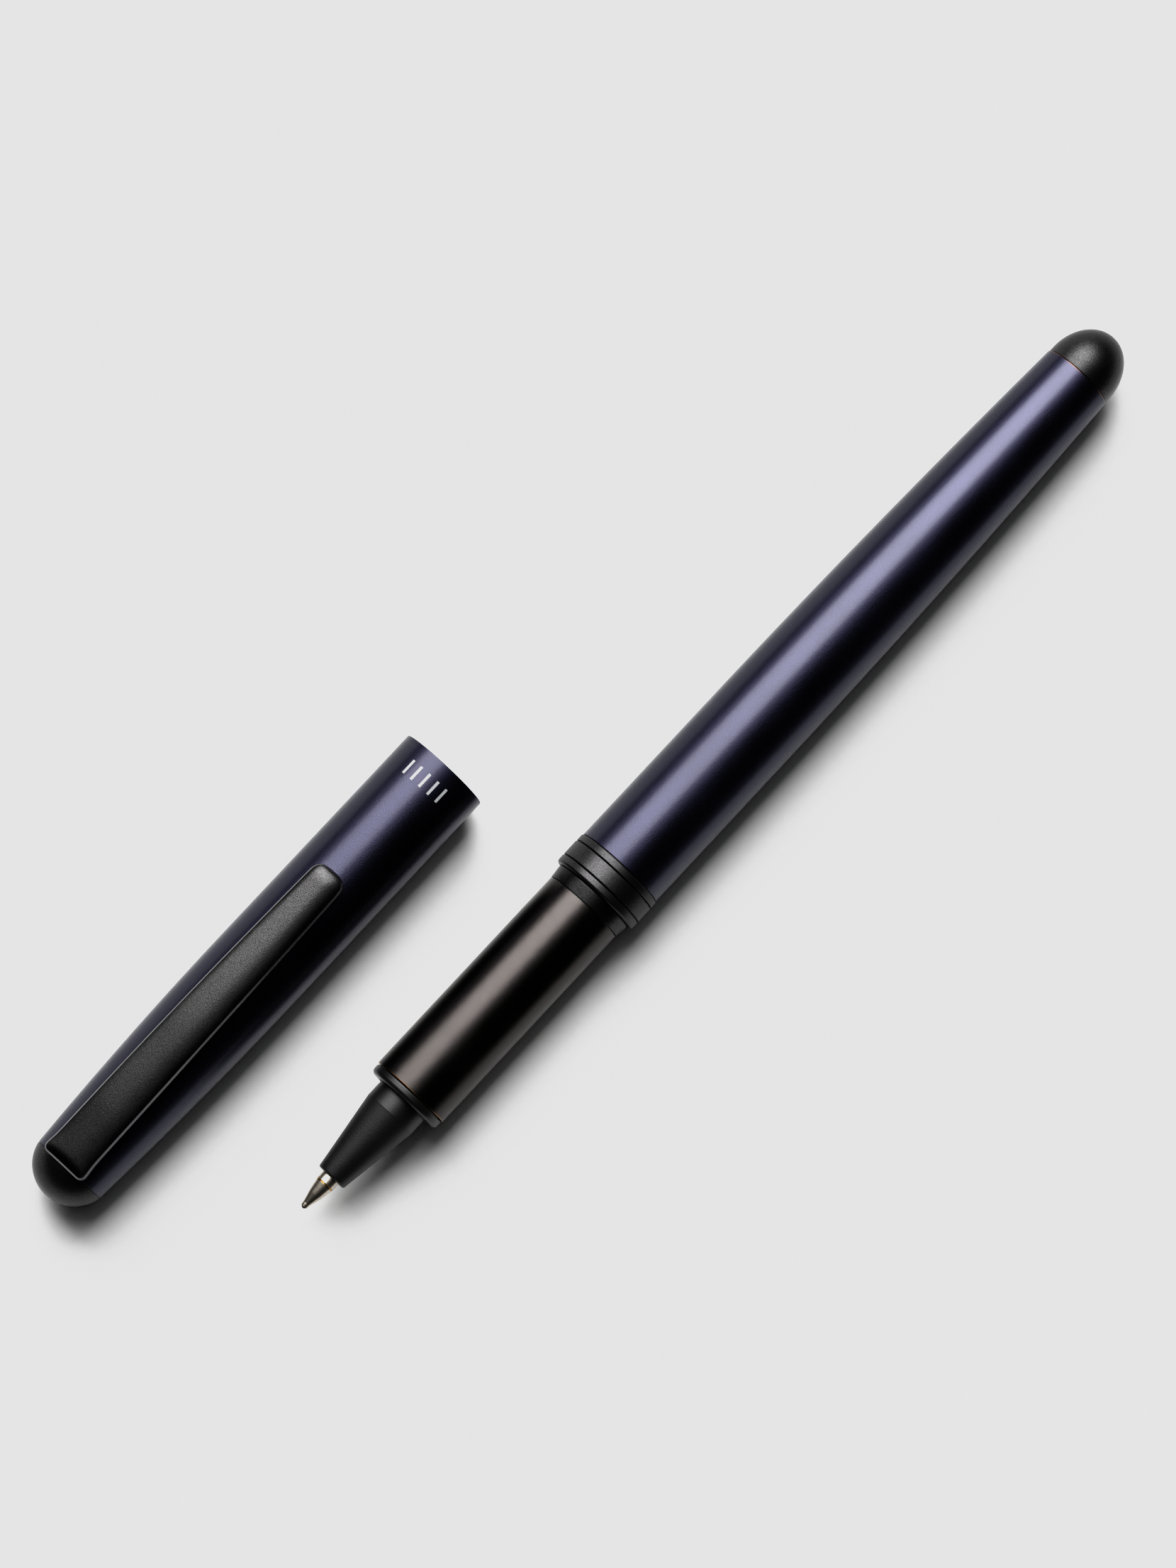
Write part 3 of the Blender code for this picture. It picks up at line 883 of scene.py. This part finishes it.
def cap_marks(finish):
    """A row of plain bars near the mouth, printed round the cap."""
    mouth = span("cap_tube", CAP)[1]
    count, pitch, width, length = 5, 1.16, 0.30, 1.75
    middle, lean = mouth - 2.65, math.radians(8)
    low, high = CAP_MOUTH_R + 0.004, CAP_MOUTH_R + 0.012
    steps = 6  # across a bar
    bm = bmesh.new()
    for i in range(count):
        centre = lean + (i - (count - 1) / 2) * pitch / CAP_MOUTH_R
        rows = []
        for k in range(steps + 1):
            angle = centre + (k / steps - 0.5) * width / CAP_MOUTH_R
            row = []
            for along, radius in (
                (-length / 2, low),
                (length / 2, low),
                (length / 2, high),
                (-length / 2, high),
            ):
                place = (middle + along, radius * math.sin(angle), radius * math.cos(angle))
                row.append(bm.verts.new(place))
            rows.append(row)
        for one, two in zip(rows, rows[1:]):
            for k in range(4):
                n = (k + 1) % 4
                bm.faces.new((one[k], one[n], two[n], two[k]))
        bm.faces.new(rows[0])
        bm.faces.new(rows[-1])
    marks = placed("cap_marks", bm, CAP, [finish["print"]])
    shown(marks, "cap", None)


# --- The clip

CLIP_ROOT = 3.3
CLIP_END = 44.0
CLIP_ROOT_HALF = 2.60
CLIP_FREE_HALF = 1.98
CLIP_TAPER_POWER = 1.9
CLIP_CORNER = 0.7  # the root's corner radius
CLIP_FLARE = (0.16, 0.6, 1.0)  # how much it widens at the root, where most, and how far about there
CLIP_TIP = 1.5  # the length of the rounded end
CLIP_TIP_POWER = 2.6
CLIP_EDGE = 0.55  # its thickness at the edges
CLIP_CROWN = 0.55
CLIP_ROLL_OFF = 0.2  # the share of the crown that falls off close to the edges
CLIP_BEVEL = (0.18, 0.19)  # its width and its depth
CLIP_GAPS = (0.34, 0.52)  # the underside's height over the cap at the root, and further on
GAP_GROWTH = 20.0  # how far from the root it has grown to the second
WRAP = (5.6, 2.4)  # where the underside stops following the cap's round, and how gradually
PAD_START = 39.0
PAD_SLOPE = 1.2
PAD_GAP = 0.32


def clip_half(u):
    """Half the clip's width, without its rounded corners."""
    along = (u - CLIP_ROOT) / (CLIP_END - CLIP_ROOT)
    most, place, reach = CLIP_FLARE
    flare = most * math.exp(-(((u - CLIP_ROOT - place) / reach) ** 2))
    narrowed = (CLIP_ROOT_HALF - CLIP_FREE_HALF) * max(0.0, along) ** CLIP_TAPER_POWER
    return CLIP_ROOT_HALF - narrowed + flare


def clip_root_edge(y):
    """The station of the root's end face at a distance across."""
    start = clip_half(CLIP_ROOT + CLIP_CORNER) - CLIP_CORNER
    over = min(max(0.0, abs(y) - start) / CLIP_CORNER, 1.0)
    return CLIP_ROOT + CLIP_CORNER * (1 - math.sqrt(1 - over**2))


def clip_free_edge(y):
    """The station of the free end's curve at a distance across."""
    over = min(abs(y) / clip_half(CLIP_END), 1.0)
    grown = (1 - over**CLIP_TIP_POWER) ** (1 / CLIP_TIP_POWER)
    return CLIP_END - CLIP_TIP + CLIP_TIP * grown


def clip_side(u):
    """Half the clip's width, with its rounded corners."""
    half = clip_half(u)
    before = min(max(0.0, (CLIP_ROOT + CLIP_CORNER - u) / CLIP_CORNER), 1.0)
    beyond = min(max(0.0, (u - CLIP_END + CLIP_TIP) / CLIP_TIP), 1.0)
    half -= CLIP_CORNER * (1 - math.sqrt(1 - before**2))
    return half * (1 - beyond**CLIP_TIP_POWER) ** (1 / CLIP_TIP_POWER)


def clip_middle(u, full, seam, mouth):
    """The underside's height along the middle, without its pad."""
    dome_reach = 4.5  # the clip stays level over the dome
    near, far = CLIP_GAPS
    grown = min(1.0, (u - CLIP_ROOT) / GAP_GROWTH)
    return cap_radius(max(u, dome_reach), full, seam, mouth) + near + (far - near) * grown


def clip_under(u, y, full, seam, mouth):
    """The underside's height: wrapped round the tube at the root, flat beyond, and lowered to the
    tube by the pad at the free end."""
    middle = clip_middle(u, full, seam, mouth)
    wrap = max(0.0, 1 - max(0.0, u - WRAP[0]) / WRAP[1])
    drop = middle - math.sqrt(middle**2 - y**2)
    pad = min(1.0, max(0.0, (u - PAD_START + PAD_SLOPE / 2) / PAD_SLOPE))
    pad = pad * pad * (3 - 2 * pad)
    return middle - wrap * drop + ((full + PAD_GAP) - middle) * pad


def clip_top(u, y, full, seam, mouth):
    """The crowned top's height, which falls off towards both ends."""
    root_roll = 1.1
    across = min(1.0, abs(y) / clip_half(u))
    beyond = min(max(0.0, (u - CLIP_END + CLIP_TIP) / CLIP_TIP), 1.0)
    before = min(max(0.0, (CLIP_ROOT + root_roll - u) / root_roll), 1.0)
    outward = (across**CLIP_TIP_POWER + beyond**CLIP_TIP_POWER) ** (1 / CLIP_TIP_POWER)
    outward = min(outward, 1.0)
    fall = (1 - CLIP_ROLL_OFF) * outward**2 + CLIP_ROLL_OFF * outward**8
    crown = CLIP_CROWN * (1 - fall) * (1 - before**2)
    return clip_middle(u, full, seam, mouth) + CLIP_EDGE + crown


def clip_grid():
    """The plan of the clip as rows of (station, across), which curve towards its rounded ends."""
    columns, middle_rows = 14, 24
    crowding = 0.86 * math.pi / 2  # the columns lie closer together towards the edges
    first = CLIP_ROOT + CLIP_CORNER * 0.3
    last = CLIP_END - CLIP_TIP * 0.25
    ends = [0.3, 0.7, 1.2, 1.9, 2.8]
    root_curve, free_curve = 2.5, 3.0  # how far the ends' curves reach into the rows
    inner = (last - ends[-1]) - (first + ends[-1])
    rows = [first, *[first + e for e in ends]]
    rows += [first + ends[-1] + inner * i / middle_rows for i in range(1, middle_rows)]
    rows += [last - e for e in reversed(ends)] + [last]
    grid = []
    for u in rows:
        root_pull = max(0.0, 1 - (u - first) / root_curve) ** 2
        free_pull = max(0.0, 1 - (last - u) / free_curve) ** 2
        row = []
        for k in range(columns + 1):
            share = math.sin(crowding * (2 * k / columns - 1)) / math.sin(crowding)
            root_shift = clip_root_edge(share * clip_side(first)) - first
            free_shift = clip_free_edge(share * clip_side(last)) - last
            station = u + root_pull * root_shift + free_pull * free_shift
            row.append((station, share * clip_side(u)))
        grid.append(row)
    return grid


def perimeter(rows):
    """The outside of a grid as a loop of (row, column)."""
    last_row, last_column = len(rows) - 1, len(rows[0]) - 1
    loop = [(0, k) for k in range(last_column)]
    loop += [(i, last_column) for i in range(last_row)]
    loop += [(last_row, k) for k in range(last_column, 0, -1)]
    loop += [(i, 0) for i in range(last_row, 0, -1)]
    return loop


def inset(points, distance):
    """A closed loop of plan points, moved inwards."""
    moved = []
    count = len(points)
    middle = sum(points, Vector((0, 0))) / count
    for i, point in enumerate(points):
        along = points[(i + 1) % count] - points[i - 1]
        normal = Vector((along.y, -along.x)).normalized()
        if normal.dot(middle - point) < 0:
            normal = -normal
        moved.append(point + normal * distance)
    return moved


def cap_clip(finish):
    """The pocket clip: a crowned bar with a polished bevel all round."""
    seam, mouth, full = span("cap_tube", CAP)
    sizes = (full, seam, mouth)
    grid = clip_grid()
    loop = perimeter(grid)
    outline = [Vector(grid[i][k]) for i, k in loop]
    bottom_edge = 0.06
    sole = [(p.x, p.y, clip_under(p.x, p.y, *sizes)) for p in inset(outline, bottom_edge)]
    foot = [(p.x, p.y, clip_under(p.x, p.y, *sizes) + bottom_edge) for p in outline]
    levels = [sole, foot]
    side_levels = len(levels)
    for step in (0.0, 0.12, 0.88, 1.0):
        down = CLIP_BEVEL[1] * (1 - step)
        ring = inset(outline, CLIP_BEVEL[0] * step)
        levels.append([(p.x, p.y, clip_top(p.x, p.y, *sizes) - down) for p in ring])
    bm = bmesh.new()
    rings = [[bm.verts.new(place) for place in level] for level in levels]
    count = len(loop)
    for index, (one, two) in enumerate(zip(rings, rings[1:])):
        for k in range(count):
            n = (k + 1) % count
            face = bm.faces.new((one[k], one[n], two[n], two[k]))
            face.material_index = 1 if index >= side_levels else 0
    for ring, height in ((rings[0], clip_under), (rings[-1], clip_top)):
        corners = dict(zip(loop, ring))
        verts = []
        for i, row in enumerate(grid):
            verts.append([])
            for k, (u, y) in enumerate(row):
                vert = corners.get((i, k)) or bm.verts.new((u, y, height(u, y, *sizes)))
                verts[-1].append(vert)
        for one, two in zip(verts, verts[1:]):
            for k in range(len(one) - 1):
                bm.faces.new((one[k], one[k + 1], two[k + 1], two[k]))
    hinge = joint("clip_flex")["axis"]
    roll = math.atan2(hinge[2], -hinge[1])
    bm.transform(Matrix.Rotation(-roll, 4, "X"))
    clip = placed("clip_skin", bm, CAP, [finish["clip"], finish["edge"]], sharp=180)
    smooth = clip.modifiers.new("smooth", "SUBSURF")
    smooth.levels = 2
    smooth.render_levels = 2
    shown(clip, "clip", "blasted_black", "cap_clip")


# --- The nodes that stay as they are


def keep_hidden_nodes(finish):
    """Pieces that are closed in on all sides keep their CAD shape, with a real finish."""
    for node, name in (
        ("feed_rod", "fibre"),
        ("ink_reservoir", "ink"),
        ("clip_screw", "spring"),
        ("clip_washer", "spring"),
    ):
        mesh = frame["nodes"][node].data
        mesh.materials.clear()
        mesh.materials.append(finish[name])


# --- Floor, light and camera


def floor():
    size = 0.8
    bm = bmesh.new()
    bmesh.ops.create_grid(bm, x_segments=8, y_segments=8, size=size)
    mesh = bpy.data.meshes.new("floor")
    bm.to_mesh(mesh)
    bm.free()
    paper = dull("pale_paper", (0.80, 0.80, 0.80), 0.90, 0.8, 0.01, tone=0.01, smudge=0.02)
    mesh.materials.append(paper)
    thing = bpy.data.objects.new("floor", mesh)
    bpy.context.scene.collection.objects.link(thing)


def softboxes():
    """A large softbox with a wider and much dimmer one round it, each with an even radiance."""
    for name, (low, high, length, shift, distance, radiance) in SOFTBOXES.items():
        tilt = math.radians((low + high) / 2)
        light = bpy.data.lights.new(name, "AREA")
        light.shape = "RECTANGLE"
        light.size = length
        light.size_y = 2 * distance * math.tan(math.radians((high - low) / 2))
        light.energy = radiance * math.pi * light.size * light.size_y
        lamp = bpy.data.objects.new(name, light)
        away = Vector((0.0, math.sin(tilt), math.cos(tilt)))
        lamp.location = away * distance + Vector((shift, 0.0, 0.0))
        lamp.rotation_euler = (-tilt, 0.0, 0.0)
        bpy.context.scene.collection.objects.link(lamp)


def world():
    """Dark all round, as in a studio, with a little stray light on dull surfaces. It is pale
    where the camera looks past the floor."""
    gloss, stray, pale = 0.004, 0.012, 0.8
    sky = bpy.data.worlds.new("studio")
    sky.use_nodes = True
    tree = sky.node_tree
    shade = tree.nodes["Background"]
    shade.inputs["Color"].default_value = (1, 1, 1, 1)
    rays = tree.nodes.new("ShaderNodeLightPath")
    strength = None
    for ray, bright in (("Is Diffuse Ray", stray), ("Is Camera Ray", pale)):
        step = tree.nodes.new("ShaderNodeMapRange")
        step.inputs["To Min"].default_value = gloss
        step.inputs["To Max"].default_value = bright
        if strength:
            tree.links.new(strength, step.inputs["To Min"])
        tree.links.new(rays.outputs[ray], step.inputs["Value"])
        strength = step.outputs["Result"]
    tree.links.new(strength, shade.inputs["Strength"])
    bpy.context.scene.world = sky


def exposure():
    """A print's contrast about middle grey, and a floor so bright that it shows one even tone.
    Only sparkles far above it come out whiter."""
    view = bpy.context.scene.view_settings
    view.view_transform = "Standard"
    view.use_curve_mapping = True
    mapping = view.curve_mapping
    mapping.use_clip = False
    mapping.extend = "HORIZONTAL"
    curve = mapping.curves[3]  # the one for all channels together
    points = [(tone, MIDDLE_GREY * (tone / MIDDLE_GREY) ** CONTRAST) for tone in TONES]
    points += [*SHOULDER, *[(tone, FLOOR_WHITE) for tone in FLOOR_TONES]]
    curve.points[0].location = (0.0, 0.0)
    curve.points[1].location = (SPARKLE, 1.0)
    for point in points:
        curve.points.new(*point)
    for point in curve.points:
        point.handle_type = "VECTOR"
    mapping.update()


def camera():
    data = bpy.data.cameras.new("camera")
    data.lens = CAMERA_LENS
    data.sensor_width = 36.0
    data.clip_start = 0.01
    data.clip_end = 50.0
    eye = bpy.data.objects.new("camera", data)
    eye.location = CAMERA_PLACE
    back = (CAMERA_PLACE - CAMERA_AIM).normalized()
    up = Vector((math.cos(CAMERA_ROLL), math.sin(CAMERA_ROLL), 0.0))
    right = up.cross(back).normalized()
    turn = Matrix((right, back.cross(right), back)).transposed()
    eye.rotation_euler = turn.to_euler()
    bpy.context.scene.collection.objects.link(eye)
    bpy.context.scene.camera = eye


def build():
    finish = make_finishes()
    front_section(finish)
    flange(finish)
    threaded_core(finish)
    o_ring(finish)
    refill_nose(finish)
    refill_tip(finish)
    refill_tube(finish)
    barrel_tube(finish)
    barrel_fittings(finish)
    coil(finish)
    cap_shell(finish)
    cap_dome(finish)
    seal_cup(finish)
    cap_marks(finish)
    cap_clip(finish)
    keep_hidden_nodes(finish)
    floor()
    softboxes()
    world()
    exposure()
    camera()


build()
